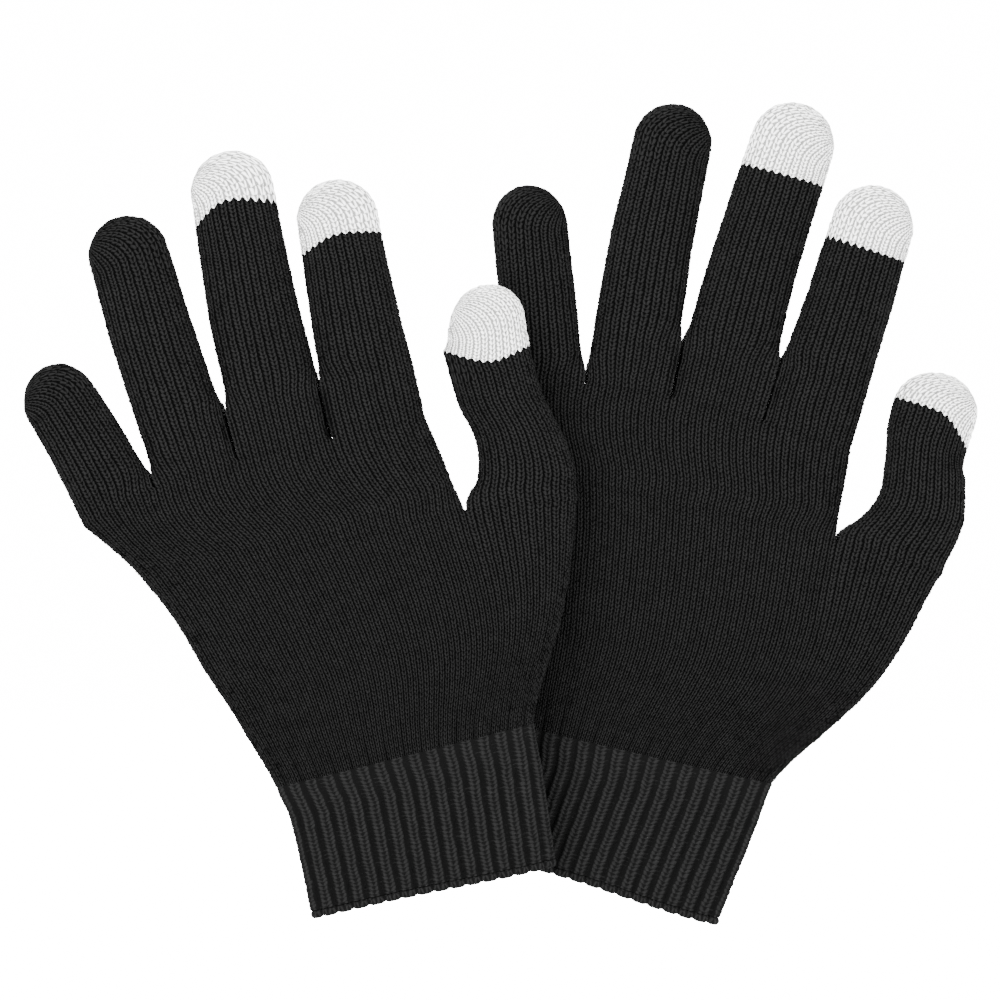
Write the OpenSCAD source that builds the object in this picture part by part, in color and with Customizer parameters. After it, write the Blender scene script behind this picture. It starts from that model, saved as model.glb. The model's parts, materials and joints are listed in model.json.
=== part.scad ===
// A pair of knitted touchscreen gloves, held up as if worn, one a little in front of the other.
// Each glove is a set of knitted tubes: a ribbed cuff, a lower and an upper palm, and two
// sections for every finger, split where the fingers fold. The tips of the thumb, index and
// middle finger are knitted in conductive yarn. The gloves are reversible, with no back or palm.
// Each glove has its own frame: the origin at the middle of its hem, Z along the hand, X towards
// the thumb and Y through its thickness. The origin of the pair is the rear glove's hem.

/* [Fabric] */
// Thickness of the knitted fabric
wall = 1.6; // [1:0.1:2]
// Gap between two sections that fold against each other
fold_gap = 0.8; // [0.6:0.1:1.2]

/* [Cuff] */
// Width of the glove at its hem
hem_width = 73; // [60:1:90]
// Thickness of the glove at its hem
hem_thickness = 15; // [10:0.5:18]
// Height of the ribbed cuff, hem included
cuff_length = 41; // [30:1:70]
// Height of the bound-off edge at the bottom of the cuff
edge_height = 2.5; // [1.5:0.1:4]
// How far the bound-off edge stands out from the cuff
edge_bulge = 0.4; // [0:0.1:1]
// Number of elastic threads laid into the cuff
elastic_count = 6; // [2:1:8]
// Thickness of one elastic thread
elastic_thread = 0.8; // [0.4:0.1:1.2]
// Play between the elastic threads and the inside of the cuff
elastic_play = 0.1; // [0.1:0.05:0.5]

/* [Hand] */
// Width of the glove at the wrist
wrist_width = 77; // [60:1:90]
// Thickness of the glove at the wrist
wrist_thickness = 17; // [12:0.5:22]
// Thickness of the palm at its fullest
palm_thickness = 22; // [16:0.5:28]
// Thickness of the hand at the knuckles
knuckle_thickness = 17; // [12:0.5:20]
// Width of the upper palm just above the thumb
palm_width = 97; // [85:1:110]
// Height from the thumb's crotch up to the knuckle line
thumb_drop = 31; // [24:1:40]

/* [Fingers: little, ring, middle, index, thumb] */
// Widths at the base
base_width = [25, 26, 28.5, 28.5, 34];
// Widths at the fold
bend_width = [23.5, 25.5, 27, 26.5, 28.5];
// Widths where the rounded tip begins
tip_width = [22.5, 24, 25, 24.5, 25.5];
// Thickness of a finger at its fold
bend_thickness = 16; // [12:0.5:18]
// Thickness of a finger where the rounded tip begins
tip_thickness = 14; // [10:0.5:16]
// Length of the rounded tip
dome_length = 12; // [9:0.5:14]
// Length of the conductive tips, rounded end included
touch_length = 20; // [16:0.5:22]
// Play between neighbouring fingers at their base
finger_play = 0.8; // [0.6:0.1:1.5]

/* [Front glove] */
// Middle of its hem, across and up from the rear glove's hem
front_hem = [-50, -1];
// Lean of the whole glove towards its thumb, in degrees
front_tilt = -14; // [-20:0.5:-8]
// Height from the wrist to the knuckle line
front_hand_length = 98; // [80:1:120]
// Middle of the wrist, across from the middle of the hem
front_wrist_shift = 3; // [-5:0.5:8]
// Middle of the knuckles, across from the middle of the hem
front_knuckle_shift = -22; // [-28:0.5:-16]
// Distance across from the middle of the knuckles to the thumb's crotch
front_thumb_reach = 59; // [54:0.5:64]
// Lengths from the knuckle line to the tips
front_length = [48, 81, 91, 76, 67];
// Lengths from the knuckle line to the folds
front_fold = [22, 40, 46, 38, 31];
// Lean of each finger below its fold, towards the thumb, in degrees
front_low_lean = [-14, -5, 1, 2, 8];
// Lean of each finger above its fold
front_top_lean = [-18, -2, 4, 4, -1];

/* [Rear glove] */
// Lean of the whole glove towards its thumb, in degrees
rear_tilt = 13; // [8:0.5:20]
// Height from the wrist to the knuckle line
rear_hand_length = 107; // [88:1:130]
// Middle of the wrist, across from the middle of the hem
rear_wrist_shift = 6; // [0:0.5:10]
// Middle of the knuckles, across from the middle of the hem
rear_knuckle_shift = -9; // [-16:0.5:-4]
// Distance across from the middle of the knuckles to the thumb's crotch
rear_thumb_reach = 55.5; // [52:0.5:60]
// Lengths from the knuckle line to the tips
rear_length = [61, 88, 96, 79, 58];
// Lengths from the knuckle line to the folds
rear_fold = [28, 43, 48, 39, 26];
// Lean of each finger below its fold, towards the thumb, in degrees
rear_low_lean = [-17, -4, 2, 5, 4];
// Lean of each finger above its fold
rear_top_lean = [-19, -1, 5, 4, 4];

/* [Pair] */
// How far the rounded edges of the two gloves nest together where they cross
edge_nest = 2.5; // [0:0.5:3]

/* [Hidden] */

KNIT = "#232323";
CONDUCTIVE = "#e4e3df";
ELASTIC = "#4a4a4a";

FRONT = 0;
REAR = 1;
LITTLE = 0;
RING = 1;
MIDDLE = 2;
INDEX = 3;
THUMB = 4;

// Sides of the polygon around a finger, a cuff and a palm
finger_sides = 20;
cuff_sides = 32;
palm_sides = 56;
// How square the sections are: 2 is an ellipse
finger_square = 2.3;
hand_square = 2.6;
// Half the length over which a finger turns from its lower lean to its upper one
turn = 7;
// Angles of the rings on a rounded tip
dome_angles = [24, 46, 66, 82];

hem_at = [front_hem, [0, 0]];
tilt = [front_tilt, rear_tilt];
// Middle plane of the front glove, its palm just clear of the rear glove's edge
plane = [edge_nest - (palm_thickness + knuckle_thickness) / 2, 0];
hand_length = [front_hand_length, rear_hand_length];
wrist_shift = [front_wrist_shift, rear_wrist_shift];
knuckle_shift = [front_knuckle_shift, rear_knuckle_shift];
thumb_reach = [front_thumb_reach, rear_thumb_reach];
full_length = [front_length, rear_length];
fold_at = [front_fold, rear_fold];
low_lean = [front_low_lean, rear_low_lean];
top_lean = [front_top_lean, rear_top_lean];
half_gap = fold_gap / 2;

// ---- Directions and sections ----

function across(lean) = [cos(lean), 0, -sin(lean)];
function along(lean) = [sin(lean), 0, cos(lean)];
function mix(a, b, share) = a + (b - a) * min(max(share, 0), 1);
function bent_power(v, square) = sign(v) * pow(abs(v), 2 / square);

// A closed ring of points around a centre, square to its lean
function ring(centre, lean, width, thickness, square, sides) = [
    for (i = [0 : sides - 1]) let (a = 360 * i / sides)
        centre + across(lean) * width / 2 * bent_power(cos(a), square)
            + [0, thickness / 2 * bent_power(sin(a), square), 0]
];

// A ring with its heights taken from a table of [x, height]
function fitted(points, table) = [for (p = points) [p.x, p.y, lookup(p.x, table)]];

// ---- Shells ----

function strip(a, b, n) = [
    for (i = [0 : n - 1]) let (j = (i + 1) % n)
        each [[a * n + i, b * n + i, b * n + j], [a * n + i, b * n + j, a * n + j]]
];
function flat(lists) = [for (list = lists) each list];

// A tube open at both ends, from rings outside and inside it, both listed from bottom to top
module open_shell(outer, inner) {
    n = len(outer[0]);
    count = len(outer);
    loop = concat(outer, [for (k = [count - 1 : -1 : 0]) inner[k]]);
    faces = flat([for (k = [0 : 2 * count - 1]) strip(k, (k + 1) % (2 * count), n)]);
    polyhedron(points = flat(loop), faces = faces, convexity = 6);
}

// A tube open at the bottom and closed at the top by a point outside and one inside
module capped_shell(outer, inner, outer_tip, inner_tip) {
    n = len(outer[0]);
    count = len(outer);
    loop = concat(outer, [for (k = [count - 1 : -1 : 0]) inner[k]]);
    sides = flat([for (k = [0 : 2 * count - 1]) if (k != count - 1) strip(k, (k + 1) % (2 * count), n)]);
    tip = 2 * count * n;
    outer_fan = [for (i = [0 : n - 1]) [(count - 1) * n + i, tip, (count - 1) * n + (i + 1) % n]];
    inner_fan = [for (i = [0 : n - 1]) [count * n + i, count * n + (i + 1) % n, tip + 1]];
    polyhedron(points = concat(flat(loop), [outer_tip, inner_tip]),
        faces = concat(sides, outer_fan, inner_fan), convexity = 6);
}

// ---- Where things are on a glove ----

function knuckle_height(g) = cuff_length + hand_length[g];
function thumb_height(g) = knuckle_height(g) - thumb_drop;

// Corners between the fingers, from the little finger's outer side (0) to the index finger's (4)
function knuckle(g, i) =
    i == 2 ? [knuckle_shift[g] + (base_width[0] + base_width[1] - base_width[2] - base_width[3]) / 2,
        0, knuckle_height(g)]
    : i < 2 ? knuckle(g, i + 1) - base_width[i] * across(low_lean[g][i])
    : knuckle(g, i - 1) + base_width[i - 1] * across(low_lean[g][i - 1]);
function thumb_crotch(g) = [knuckle_shift[g] + thumb_reach[g], 0, thumb_height(g)];
function thumb_outer(g) = thumb_crotch(g) + base_width[THUMB] * across(low_lean[g][THUMB]);

function finger_base(g, f) = f == THUMB ? (thumb_crotch(g) + thumb_outer(g)) / 2
    : (knuckle(g, f) + knuckle(g, f + 1)) / 2;
function finger_fold(g, f) = finger_base(g, f) + fold_at[g][f] * along(low_lean[g][f]);

// Centre, lean, width and thickness of a finger, s along it from its base
function centre_at(g, f, s) = s < fold_at[g][f] ? finger_base(g, f) + s * along(low_lean[g][f])
    : finger_fold(g, f) + (s - fold_at[g][f]) * along(top_lean[g][f]);
function lean_at(g, f, s) =
    mix(low_lean[g][f], top_lean[g][f], (s - fold_at[g][f] + turn) / (2 * turn));
function dome_start(g, f) = full_length[g][f] - dome_length;
function width_at(g, f, s) = lookup(s, [[0, base_width[f] - finger_play],
    [fold_at[g][f], bend_width[f]], [dome_start(g, f), tip_width[f]]]);
function thickness_at(g, f, s) = lookup(s, [[0, knuckle_thickness],
    [fold_at[g][f], bend_thickness], [dome_start(g, f), tip_thickness]]);

// A ring of a finger's fabric: inset is 0 outside and the wall's thickness inside
function finger_ring(g, f, s, inset) = ring(centre_at(g, f, s), lean_at(g, f, s),
    width_at(g, f, s) - 2 * inset, thickness_at(g, f, s) - 2 * inset, finger_square, finger_sides);
function dome_ring(g, f, a, inset) = ring(
    centre_at(g, f, dome_start(g, f) + (dome_length - inset) * sin(a)), top_lean[g][f],
    (tip_width[f] - 2 * inset) * cos(a), (tip_thickness - 2 * inset) * cos(a),
    finger_square, finger_sides);

// Rings of the palm, from the lean of the glove's own outline
function palm_ring(left, right, height, thickness, inset) = ring([(left + right) / 2, 0, height],
    0, right - left - 2 * inset, thickness - 2 * inset, hand_square, palm_sides);

// ---- The parts of a glove ----

module placed(g) {
    translate([hem_at[g].x, plane[g], hem_at[g].y]) rotate([0, tilt[g], 0]) children();
}

module cuff(g) {
    function cuff_ring(height, inset) = ring([wrist_shift[g] * height / cuff_length, 0, height], 0,
        mix(hem_width, wrist_width, height / cuff_length) - 2 * inset,
        mix(hem_thickness, wrist_thickness, height / cuff_length) - 2 * inset,
        hand_square, cuff_sides);
    heights = [edge_height, cuff_length - half_gap];
    placed(g) open_shell([for (h = heights) cuff_ring(h, 0)], [for (h = heights) cuff_ring(h, wall)]);
}

module cuff_edge(g) {
    heights = [0, edge_height];
    shift = wrist_shift[g] / cuff_length;
    function edge_ring(height, inset) = ring([shift * height, 0, height], 0,
        hem_width - 2 * inset, hem_thickness - 2 * inset, hand_square, cuff_sides);
    placed(g) open_shell([for (h = heights) edge_ring(h, -edge_bulge)],
        [for (h = heights) edge_ring(h, wall)]);
}

module cuff_elastic(g) {
    pitch = (cuff_length - edge_height) / (elastic_count + 1);
    outside = wall + elastic_play;
    function thread_ring(height, inset) = ring([wrist_shift[g] * height / cuff_length, 0, height], 0,
        mix(hem_width, wrist_width, height / cuff_length) - 2 * inset,
        mix(hem_thickness, wrist_thickness, height / cuff_length) - 2 * inset,
        hand_square, cuff_sides);
    for (i = [1 : elastic_count]) {
        heights = [edge_height + i * pitch, edge_height + i * pitch + elastic_thread];
        placed(g) open_shell([for (h = heights) thread_ring(h, outside)],
            [for (h = heights) thread_ring(h, outside + elastic_thread)]);
    }
}

module lower_palm(g) {
    left = thumb_crotch(g).x - palm_width;
    right = thumb_outer(g).x;
    top = thumb_height(g);
    bottom = cuff_length + half_gap;
    // The top edge is level under the upper palm and square to the thumb beside it
    top_edge = [[left, top], [thumb_crotch(g).x, top], [thumb_crotch(g).x + 0.1, top - half_gap],
        [right, thumb_outer(g).z - half_gap]];
    function side_ring(share, inset) = palm_ring(
        mix(wrist_shift[g] - wrist_width / 2, left, share),
        mix(wrist_shift[g] + wrist_width / 2, right, share),
        mix(bottom, top - 4, share), mix(wrist_thickness, palm_thickness, share), inset);
    function top_ring(inset) = fitted(palm_ring(left, right, top, palm_thickness, inset), top_edge);
    placed(g) open_shell([side_ring(0, 0), side_ring(0.5, 0), top_ring(0)],
        [side_ring(0, wall), side_ring(0.5, wall), top_ring(wall)]);
}

module upper_palm(g) {
    knuckles = [for (i = [0 : 4]) [knuckle(g, i).x, knuckle(g, i).z - half_gap]];
    left = thumb_crotch(g).x - palm_width;
    right = thumb_crotch(g).x - half_gap;
    function low_ring(inset) = palm_ring(left, right, thumb_height(g), palm_thickness, inset);
    function top_ring(inset) = fitted(palm_ring(knuckles[0][0], knuckles[4][0], 0,
        knuckle_thickness, inset), knuckles);
    function middle_ring(inset) = palm_ring((left + knuckles[0][0]) / 2, (right + knuckles[4][0]) / 2,
        thumb_height(g) + thumb_drop / 3, mix(palm_thickness, knuckle_thickness, 1 / 3), inset);
    placed(g) open_shell([low_ring(0), middle_ring(0), top_ring(0)],
        [low_ring(wall), middle_ring(wall), top_ring(wall)]);
}

module finger_lower(g, f) {
    stops = [half_gap, fold_at[g][f] - turn, fold_at[g][f] - half_gap];
    placed(g) open_shell([for (s = stops) finger_ring(g, f, s, 0)],
        [for (s = stops) finger_ring(g, f, s, wall)]);
}

// The upper section of a finger that ends in a conductive tip
module finger_upper(g, f) {
    stops = [fold_at[g][f] + half_gap, fold_at[g][f] + turn, full_length[g][f] - touch_length];
    placed(g) open_shell([for (s = stops) finger_ring(g, f, s, 0)],
        [for (s = stops) finger_ring(g, f, s, wall)]);
}

// The closed end of a finger, from a stop up
module finger_end(g, f, stops) {
    function rings(inset) = concat([for (s = stops) finger_ring(g, f, s, inset)],
        [for (a = dome_angles) dome_ring(g, f, a, inset)]);
    placed(g) capped_shell(rings(0), rings(wall), centre_at(g, f, full_length[g][f]),
        centre_at(g, f, full_length[g][f] - wall));
}

module finger_upper_closed(g, f) {
    finger_end(g, f, [fold_at[g][f] + half_gap, fold_at[g][f] + turn, dome_start(g, f)]);
}

module touch_tip(g, f) {
    finger_end(g, f, [full_length[g][f] - touch_length, dome_start(g, f)]);
}

// ---- One module for each part ----

module rear_cuff() { color(KNIT) cuff(REAR); }
module rear_cuff_edge() { color(KNIT) cuff_edge(REAR); }
module rear_cuff_elastic() { color(ELASTIC) cuff_elastic(REAR); }
module rear_lower_palm() { color(KNIT) lower_palm(REAR); }
module rear_upper_palm() { color(KNIT) upper_palm(REAR); }
module rear_little_lower() { color(KNIT) finger_lower(REAR, LITTLE); }
module rear_little_upper() { color(KNIT) finger_upper_closed(REAR, LITTLE); }
module rear_ring_lower() { color(KNIT) finger_lower(REAR, RING); }
module rear_ring_upper() { color(KNIT) finger_upper_closed(REAR, RING); }
module rear_middle_lower() { color(KNIT) finger_lower(REAR, MIDDLE); }
module rear_middle_upper() { color(KNIT) finger_upper(REAR, MIDDLE); }
module rear_middle_touch_tip() { color(CONDUCTIVE) touch_tip(REAR, MIDDLE); }
module rear_index_lower() { color(KNIT) finger_lower(REAR, INDEX); }
module rear_index_upper() { color(KNIT) finger_upper(REAR, INDEX); }
module rear_index_touch_tip() { color(CONDUCTIVE) touch_tip(REAR, INDEX); }
module rear_thumb_lower() { color(KNIT) finger_lower(REAR, THUMB); }
module rear_thumb_upper() { color(KNIT) finger_upper(REAR, THUMB); }
module rear_thumb_touch_tip() { color(CONDUCTIVE) touch_tip(REAR, THUMB); }
module front_cuff() { color(KNIT) cuff(FRONT); }
module front_cuff_edge() { color(KNIT) cuff_edge(FRONT); }
module front_cuff_elastic() { color(ELASTIC) cuff_elastic(FRONT); }
module front_lower_palm() { color(KNIT) lower_palm(FRONT); }
module front_upper_palm() { color(KNIT) upper_palm(FRONT); }
module front_little_lower() { color(KNIT) finger_lower(FRONT, LITTLE); }
module front_little_upper() { color(KNIT) finger_upper_closed(FRONT, LITTLE); }
module front_ring_lower() { color(KNIT) finger_lower(FRONT, RING); }
module front_ring_upper() { color(KNIT) finger_upper_closed(FRONT, RING); }
module front_middle_lower() { color(KNIT) finger_lower(FRONT, MIDDLE); }
module front_middle_upper() { color(KNIT) finger_upper(FRONT, MIDDLE); }
module front_middle_touch_tip() { color(CONDUCTIVE) touch_tip(FRONT, MIDDLE); }
module front_index_lower() { color(KNIT) finger_lower(FRONT, INDEX); }
module front_index_upper() { color(KNIT) finger_upper(FRONT, INDEX); }
module front_index_touch_tip() { color(CONDUCTIVE) touch_tip(FRONT, INDEX); }
module front_thumb_lower() { color(KNIT) finger_lower(FRONT, THUMB); }
module front_thumb_upper() { color(KNIT) finger_upper(FRONT, THUMB); }
module front_thumb_touch_tip() { color(CONDUCTIVE) touch_tip(FRONT, THUMB); }

rear_cuff();
rear_cuff_edge();
rear_cuff_elastic();
rear_lower_palm();
rear_upper_palm();
rear_little_lower();
rear_little_upper();
rear_ring_lower();
rear_ring_upper();
rear_middle_lower();
rear_middle_upper();
rear_middle_touch_tip();
rear_index_lower();
rear_index_upper();
rear_index_touch_tip();
rear_thumb_lower();
rear_thumb_upper();
rear_thumb_touch_tip();
front_cuff();
front_cuff_edge();
front_cuff_elastic();
front_lower_palm();
front_upper_palm();
front_little_lower();
front_little_upper();
front_ring_lower();
front_ring_upper();
front_middle_lower();
front_middle_upper();
front_middle_touch_tip();
front_index_lower();
front_index_upper();
front_index_touch_tip();
front_thumb_lower();
front_thumb_upper();
front_thumb_touch_tip();
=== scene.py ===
# %% [markdown]
# # A pair of knitted touchscreen gloves
# Each glove is knitted in one go on a flat-bed machine: four finger tubes, the upper palm, the
# thumb, the lower palm and the ribbed cuff. The frame gives the places, sizes and joints, and this
# script dresses it in knitted fabric whose stitches are real relief in the mesh.

# %% Load the frame
import json
import math

import bmesh
import bpy
import numpy as np
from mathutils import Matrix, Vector


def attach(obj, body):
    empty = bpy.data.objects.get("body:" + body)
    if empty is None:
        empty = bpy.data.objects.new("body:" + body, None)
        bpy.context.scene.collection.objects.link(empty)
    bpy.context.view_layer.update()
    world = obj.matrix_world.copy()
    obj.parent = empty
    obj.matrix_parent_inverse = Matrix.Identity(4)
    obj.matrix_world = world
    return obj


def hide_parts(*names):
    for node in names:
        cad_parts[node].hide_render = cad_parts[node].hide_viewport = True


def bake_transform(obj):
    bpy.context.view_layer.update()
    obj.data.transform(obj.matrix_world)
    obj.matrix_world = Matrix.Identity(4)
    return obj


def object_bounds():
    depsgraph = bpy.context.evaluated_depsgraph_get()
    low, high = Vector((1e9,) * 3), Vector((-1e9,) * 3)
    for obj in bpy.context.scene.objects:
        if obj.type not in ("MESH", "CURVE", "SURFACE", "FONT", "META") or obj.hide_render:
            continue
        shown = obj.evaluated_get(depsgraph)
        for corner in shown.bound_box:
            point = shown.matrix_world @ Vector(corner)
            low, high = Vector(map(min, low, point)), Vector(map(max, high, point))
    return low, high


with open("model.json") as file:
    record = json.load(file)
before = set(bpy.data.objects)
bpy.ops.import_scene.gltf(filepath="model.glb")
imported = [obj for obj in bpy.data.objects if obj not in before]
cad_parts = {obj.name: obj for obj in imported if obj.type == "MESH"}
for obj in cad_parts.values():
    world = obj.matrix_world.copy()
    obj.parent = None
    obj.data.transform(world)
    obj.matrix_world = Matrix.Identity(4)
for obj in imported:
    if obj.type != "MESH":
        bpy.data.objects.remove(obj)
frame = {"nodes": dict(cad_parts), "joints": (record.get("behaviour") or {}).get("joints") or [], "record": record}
cad_box = [list(corner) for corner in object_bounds()]
low, high = (Vector(corner) for corner in cad_box)
middle_of_pair = (low + high) / 2
size_of_pair = high - low
print("frame:", len(frame["nodes"]), "nodes,", [round(1000 * s) for s in size_of_pair], "mm")

# %% [markdown]
# ## Camera
# The pair is seen square on from the front, as a maker's catalogue shows gloves. A long lens keeps
# both gloves at one scale. The camera comes first, so that every later step can be judged in it.

# %% Camera
LENS = 250
VIEW_WIDTH = 1.052 * size_of_pair.x
AIM_LEFT = 0.0004
AIM_UP = 0.0028
lens_data = bpy.data.cameras.new("catalogue_lens")
lens_data.lens = LENS
lens_data.clip_end = 30
camera = bpy.data.objects.new("camera", lens_data)
bpy.context.scene.collection.objects.link(camera)
distance = VIEW_WIDTH * LENS / lens_data.sensor_width
camera.location = middle_of_pair + Vector((-AIM_LEFT, -distance, AIM_UP))
camera.rotation_euler = (math.pi / 2, 0, 0)
bpy.context.scene.camera = camera
print("camera", round(distance, 3), "m in front")

# %% [markdown]
# ## Stage
# Black yarn shows its stitches only in very even light, so the stage is a white room: a pale floor
# some way below the hems, a white sky all round, and two large soft panels that give the relief a
# lit side.

# %% Stage
FLOOR_DROP = 0.06
# The sky and the floor look brighter to the camera than they shine on the gloves
ROOM_LIGHT = 6.5
WHITE_SEEN = 16
FLOOR_GLOW = 22
floor_build = bmesh.new()
bmesh.ops.create_grid(floor_build, x_segments=1, y_segments=1, size=4)
floor_mesh = bpy.data.meshes.new("floor")
floor_build.to_mesh(floor_mesh)
floor_build.free()
floor_mesh.transform(Matrix.Translation((0, 0, low.z - FLOOR_DROP)))
floor = bpy.data.objects.new("floor", floor_mesh)
bpy.context.scene.collection.objects.link(floor)

paint = bpy.data.materials.new("pale_floor")
paint.use_nodes = True
paint_shader = paint.node_tree.nodes["Principled BSDF"]
paint_shader.inputs["Base Color"].default_value = (0.93, 0.93, 0.93, 1)
paint_shader.inputs["Roughness"].default_value = 0.9
paint_shader.inputs["Emission Color"].default_value = (1, 1, 1, 1)
glow_seen = paint.node_tree.nodes.new("ShaderNodeLightPath")
glow = paint.node_tree.nodes.new("ShaderNodeMath")
glow.operation = "MULTIPLY"
glow.inputs[1].default_value = FLOOR_GLOW
paint.node_tree.links.new(glow_seen.outputs["Is Camera Ray"], glow.inputs[0])
paint.node_tree.links.new(glow.outputs[0], paint_shader.inputs["Emission Strength"])
floor_mesh.materials.append(paint)

room = bpy.data.worlds.new("white_room")
room.use_nodes = True
sky = room.node_tree.nodes["Background"]
sky.inputs["Color"].default_value = (1, 1, 1, 1)
seen_directly = room.node_tree.nodes.new("ShaderNodeLightPath")
brightness = room.node_tree.nodes.new("ShaderNodeMapRange")
brightness.inputs["To Min"].default_value = ROOM_LIGHT
brightness.inputs["To Max"].default_value = WHITE_SEEN
room.node_tree.links.new(seen_directly.outputs["Is Camera Ray"], brightness.inputs["Value"])
room.node_tree.links.new(brightness.outputs["Result"], sky.inputs["Strength"])
bpy.context.scene.world = room


def soft_panel(name, place, aim, width, watts):
    """A square area light at a place, turned towards a point."""
    data = bpy.data.lights.new(name, "AREA")
    data.size = width
    data.energy = watts
    panel = bpy.data.objects.new(name, data)
    panel.location = place
    panel.rotation_mode = "QUATERNION"
    panel.rotation_quaternion = (aim - place).to_track_quat("-Z", "Y")
    bpy.context.scene.collection.objects.link(panel)


soft_panel("key", middle_of_pair + Vector((-0.7, -0.9, 0.9)), middle_of_pair, width=0.7, watts=34)
soft_panel("fill", middle_of_pair + Vector((0.9, -0.8, 0.1)), middle_of_pair, width=0.9, watts=10)
print("stage: floor", round(1000 * FLOOR_DROP), "mm below the hems")

# %% [markdown]
# ## Reading a glove from the frame
# Everything is worked out in the glove's own axes, in millimetres: x across towards the thumb, y
# through the thickness, z up from the hem. The mounts give those axes and the joints give each
# finger's base and fold. Widths come from cutting the frame's solids with a plane, which is surer
# than copying numbers from the design.

# %% Axes of a glove
MM = 0.001
JOINTS = {joint["name"]: joint for joint in frame["joints"]}
MOUNTS = {mount["name"]: mount for mount in frame["record"]["mounts"]}
FINGERS = ["little", "ring", "middle", "index", "thumb"]
TOUCH_FINGERS = ["middle", "index", "thumb"]


def across(lean):
    """Direction across a part that leans towards the thumb, as [x, z]."""
    return np.array([math.cos(lean), -math.sin(lean)])


def along(lean):
    """Direction along a part that leans towards the thumb, as [x, z]."""
    return np.array([math.sin(lean), math.cos(lean)])


class Glove:
    """The axes of one glove, and the way between them and the frame."""

    def __init__(self, name, turned):
        mount = MOUNTS[f"{name}_cuff_opening"]
        self.name = name
        self.turned = turned
        self.origin = np.array(mount["pos_m"])
        self.up = -np.array(mount["axis"])
        self.side = np.array([self.up[2], 0, -self.up[0]])

    def inward(self, points):
        """Points of the frame, in metres, in the glove's axes, in millimetres."""
        moved = (np.asarray(points) - self.origin) / MM
        return np.stack([moved @ self.side, moved[..., 1], moved @ self.up], -1)

    def outward(self, points):
        """Points in the glove's axes, in millimetres, in the frame, in metres."""
        points = np.asarray(points, float)
        flat = points[..., :1] * self.side + points[..., 2:] * self.up
        flat[..., 1] += points[..., 1]
        return self.origin + flat * MM

    def vertices(self, node):
        """The vertices of a node, in the glove's axes."""
        return self.inward([v.co for v in frame["nodes"][f"{self.name}_{node}"].data.vertices])

    def cut(self, node, at, lean=0.0):
        """Left edge, right edge and thickness of a node where a plane square to a lean cuts it."""
        solid = bmesh.new()
        solid.from_mesh(frame["nodes"][f"{self.name}_{node}"].data)
        x, z = along(lean)
        normal = x * self.side + z * self.up
        point = self.outward([at[0], 0, at[1]])
        everything = solid.verts[:] + solid.edges[:] + solid.faces[:]
        found = bmesh.ops.bisect_plane(solid, geom=everything, dist=1e-7, plane_co=point, plane_no=normal)
        corners = [v.co[:] for v in found["geom_cut"] if isinstance(v, bmesh.types.BMVert)]
        solid.free()
        corners = self.inward(corners)
        reach = (corners[:, [0, 2]] - np.asarray(at)) @ across(lean)
        return reach.min(), reach.max(), np.ptp(corners[:, 1])


gloves = [Glove("rear", -1), Glove("front", 1)]
for glove in gloves:
    print(glove.name, "glove leans", round(math.degrees(math.atan2(glove.up[0], glove.up[2])), 1), "degrees")

# %% [markdown]
# ### Places on the hand
# A finger is known by its base, its fold and its tip. Half the width is measured at three stations,
# but the thumb's waist is given. The crotch points between fingers, and the thumb's crotch, are
# where the tubes of fabric part.

# %% Places on the hand
DOME = 12.0
TOUCH = 20.0
HALF_PLAY = 0.4
CLEAR_OF_FOLD = 8
THUMB_WAIST = 27.6
THUMB_WAIST_AT = 14.0


def read_finger(glove, finger):
    """Base, fold, leans, length, half widths and half thicknesses of a finger."""
    last = "touch_tip" if finger in TOUCH_FINGERS else "upper"
    base = glove.inward(JOINTS[f"{glove.name}_{finger}_base"]["pos_m"])[[0, 2]]
    fold = glove.inward(JOINTS[f"{glove.name}_{finger}_fold"]["pos_m"])[[0, 2]]
    flat = glove.vertices(f"{finger}_{last}")[:, [0, 2]]
    tip = flat[np.argmax(((flat - fold) ** 2).sum(1))]
    low_lean = math.atan2(*(fold - base))
    top_lean = math.atan2(*(tip - fold))
    fold_at = np.linalg.norm(fold - base)
    length = fold_at + np.linalg.norm(tip - fold)
    stations = [(1.0, "lower", low_lean), (fold_at - CLEAR_OF_FOLD, "lower", low_lean),
                (length - DOME - 0.5, last, top_lean)]
    half_width = []
    half_thickness = []
    for station, node, lean in stations:
        point = base + station * along(low_lean)
        if station > fold_at:
            point = fold + (station - fold_at) * along(top_lean)
        left, right, thick = glove.cut(f"{finger}_{node}", point, lean)
        half_width.append((right - left) / 2)
        half_thickness.append(thick / 2)
    half_width[0] += HALF_PLAY
    if finger == "thumb":
        stations[1] = (THUMB_WAIST_AT, "", 0)
        half_width[1] = THUMB_WAIST / 2
    return {"base": base, "fold": fold, "low_lean": low_lean, "top_lean": top_lean, "fold_at": fold_at,
            "length": length, "stations": [0, stations[1][0], length - DOME],
            "half_width": half_width, "half_thickness": half_thickness}


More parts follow.
